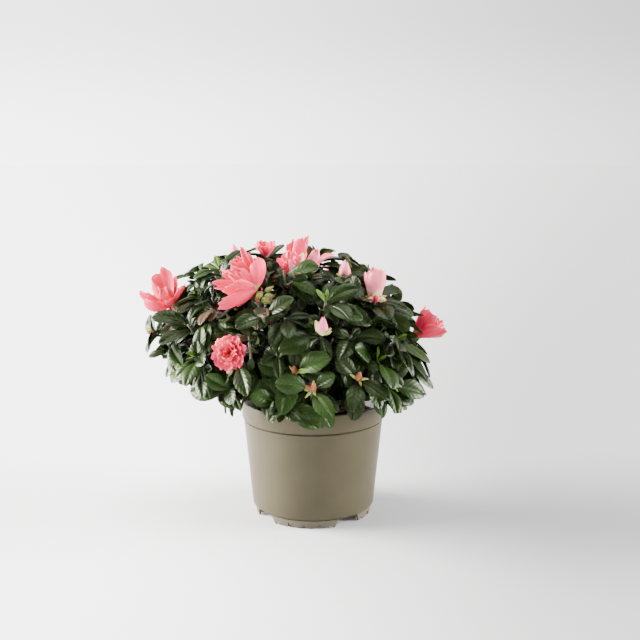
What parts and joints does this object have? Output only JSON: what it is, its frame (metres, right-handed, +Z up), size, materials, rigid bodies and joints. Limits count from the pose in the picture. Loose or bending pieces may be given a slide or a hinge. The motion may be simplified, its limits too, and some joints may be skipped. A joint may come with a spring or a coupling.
{
  "type": "potted azalea shrub",
  "caption": "Low rounded azalea shrub with glossy leaves and ruffled double blossom, growing in a round tapered nursery pot with a rim band and a footed base.",
  "frame": {"origin": "on the pot's axis, in the plane of its feet that it stands on", "axes": "+Z up along the pot's axis; -Y is the front, towards the viewer of the picture; +X is to that viewer's right"},
  "size_m": [0.2804, 0.2364, 0.2593],
  "materials": {
    "pot_plastic": "smooth satin taupe plastic",
    "potting_soil": "coarse dark reddish-brown peat",
    "bark": "rough grey-brown bark",
    "foliage": "glossy dark green leaves",
    "blossom": "soft salmon-pink petals"
  },
  "bodies": {
    "root": {"pot": "pot_plastic", "potting_soil": "potting_soil", "main_stem": "bark", "bough_front_left": "bark", "bough_front": "bark", "bough_front_right": "bark", "bough_right": "bark", "bough_back_right": "bark", "bough_back": "bark", "bough_back_left": "bark", "bough_left": "bark", "bough_far_left": "bark", "bough_upper_front_left": "bark", "bough_upper_front_right": "bark", "bough_upper_back_right": "bark", "bough_upper_back_left": "bark", "foliage_front_left": "foliage", "foliage_front": "foliage", "foliage_front_right": "foliage", "foliage_right": "foliage", "foliage_back_right": "foliage", "foliage_back": "foliage", "foliage_back_left": "foliage", "foliage_left": "foliage", "foliage_far_left": "foliage", "foliage_upper_front_left": "foliage", "foliage_upper_front_right": "foliage", "foliage_upper_back_right": "foliage", "foliage_upper_back_left": "foliage", "foliage_top": "foliage"}
  },
  "joints": []
}
